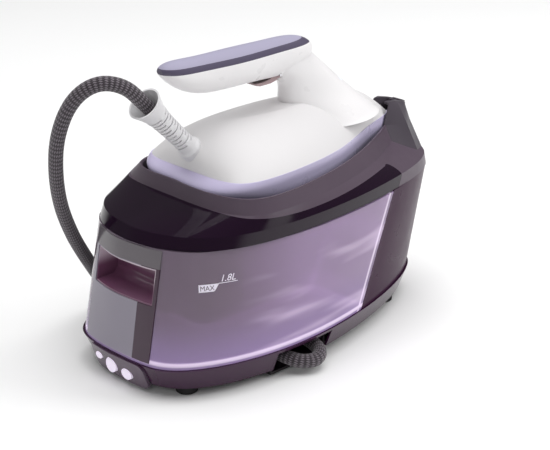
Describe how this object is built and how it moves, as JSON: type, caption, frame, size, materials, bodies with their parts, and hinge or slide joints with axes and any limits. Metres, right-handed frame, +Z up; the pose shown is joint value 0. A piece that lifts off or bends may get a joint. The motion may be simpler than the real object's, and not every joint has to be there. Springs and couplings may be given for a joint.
{
  "type": "steam generator iron",
  "caption": "Steam generator iron: a boat-shaped water station with a slide-out tank, and a hose-fed iron resting in the tray on top.",
  "frame": {"origin": "on the floor under the middle of the station", "axes": "+X along the station towards the iron's tip, -X the front with the control panel, +Y the rear long side, +Z up"},
  "size_m": [0.3685, 0.2921, 0.2592],
  "materials": {
    "dark_shell": "dark aubergine",
    "gloss_cover": "gloss dark aubergine",
    "satin_plum": "satin grey plum",
    "tray": "satin black",
    "heat_mat": "matt",
    "foot_rubber": "matt",
    "tank_clear": "smoky lavender clear plastic",
    "tank_front": "gloss smoky grey",
    "tank_inner": "dark plum",
    "button_white": "white, lit",
    "white_shell": "white",
    "lavender": "lavender",
    "grip_soft": "soft lavender grey",
    "strip_dark": "dark purple grey",
    "trigger_rose": "rose brown",
    "steel": "bare",
    "cast_alu": "cast",
    "board": "green board",
    "black_part": "black",
    "pump_body": "dark grey",
    "silicone": "milky",
    "hose_braid": "braided textile"
  },
  "bodies": {
    "station": {"base_shell": "dark_shell", "bottom_plate_front": "dark_shell", "bottom_plate_rear": "dark_shell", "button_board": "board", "control_panel": "dark_shell", "feed_tube": "silicone", "foot_1": "foot_rubber", "foot_2": "foot_rubber", "foot_3": "foot_rubber", "foot_4": "foot_rubber", "heat_sink": "cast_alu", "hose_fold": "hose_braid", "hose_gland": "black_part", "hose_hank": "hose_braid", "hose_loop": "hose_braid", "hose_tail": "hose_braid", "hose_tunnel": "dark_shell", "iron_tray": "tray", "lock_tower": "satin_plum", "main_board": "board", "mains_gland": "black_part", "outlet_tube": "silicone", "pump": "pump_body", "pump_mount_1": "black_part", "pump_mount_2": "black_part", "rear_housing": "satin_plum", "rim_band": "satin_plum", "side_housing": "dark_shell", "tank_coupling": "black_part", "top_cover": "gloss_cover", "tray_mat": "heat_mat"},
    "water_tank": {"tank_shell": "tank_clear", "tank_grip": "tank_inner", "tank_fascia": "tank_front", "filler_duct": "tank_inner", "tank_valve": "tank_inner"},
    "filler_flap": {"filler_flap": "tank_inner"},
    "iron": {"soleplate": "steel", "heating_element": "steel", "steam_chamber": "cast_alu", "chamber_cover": "cast_alu", "thermal_fuse": "black_part", "heat_shield": "cast_alu", "skirt": "lavender", "iron_shell": "white_shell", "handle_shell": "white_shell", "handle_strip": "strip_dark", "handle_grip": "grip_soft", "handle_board": "board", "status_light": "button_white", "hose_guard": "white_shell", "trigger_pin": "steel", "trigger_spring": "steel", "trigger_switch": "black_part"},
    "trigger": {"trigger": "trigger_rose"},
    "carry_lock": {"carry_lock": "satin_plum"},
    "button_power": {"button_power": "button_white"},
    "button_steam": {"button_steam": "button_white"},
    "button_clean": {"button_clean": "button_white"}
  },
  "joints": [
    {"name": "iron_lift", "type": "slide", "parent": "station", "child": "iron", "axis": [0, 0, 1], "range_m": [0, 0.1], "deforming": ["hose_loop"]},
    {"name": "tank_slide", "type": "slide", "parent": "station", "child": "water_tank", "axis": [-1, 0, 0], "range_m": [0, 0.26]},
    {"name": "filler_flap_hinge", "type": "hinge", "parent": "water_tank", "child": "filler_flap", "pos_m": [-0.1266, -0.043, 0.121], "axis": [0, 1, 0], "range_deg": [0, 70], "stiffness_Nm_per_rad": 0.01, "springref_deg": -17.19},
    {"name": "trigger_press", "type": "hinge", "parent": "iron", "child": "trigger", "pos_m": [0.005, 0, 0.2286], "axis": [0, 1, 0], "range_deg": [0, 6], "stiffness_Nm_per_rad": 0.3, "springref_deg": -5.73, "deforming": ["trigger_spring"]},
    {"name": "carry_lock_slide", "type": "slide", "parent": "station", "child": "carry_lock", "axis": [-1, 0, 0], "range_m": [0, 0.007]},
    {"name": "button_power_press", "type": "slide", "parent": "station", "child": "button_power", "axis": [1, 0, 0], "range_m": [0, 0.0012], "stiffness_N_per_m": 400, "springref_m": -0.0006},
    {"name": "button_steam_press", "type": "slide", "parent": "station", "child": "button_steam", "axis": [1, 0, 0], "range_m": [0, 0.0012], "stiffness_N_per_m": 400, "springref_m": -0.0006},
    {"name": "button_clean_press", "type": "slide", "parent": "station", "child": "button_clean", "axis": [1, 0, 0], "range_m": [0, 0.0012], "stiffness_N_per_m": 400, "springref_m": -0.0006}
  ]
}
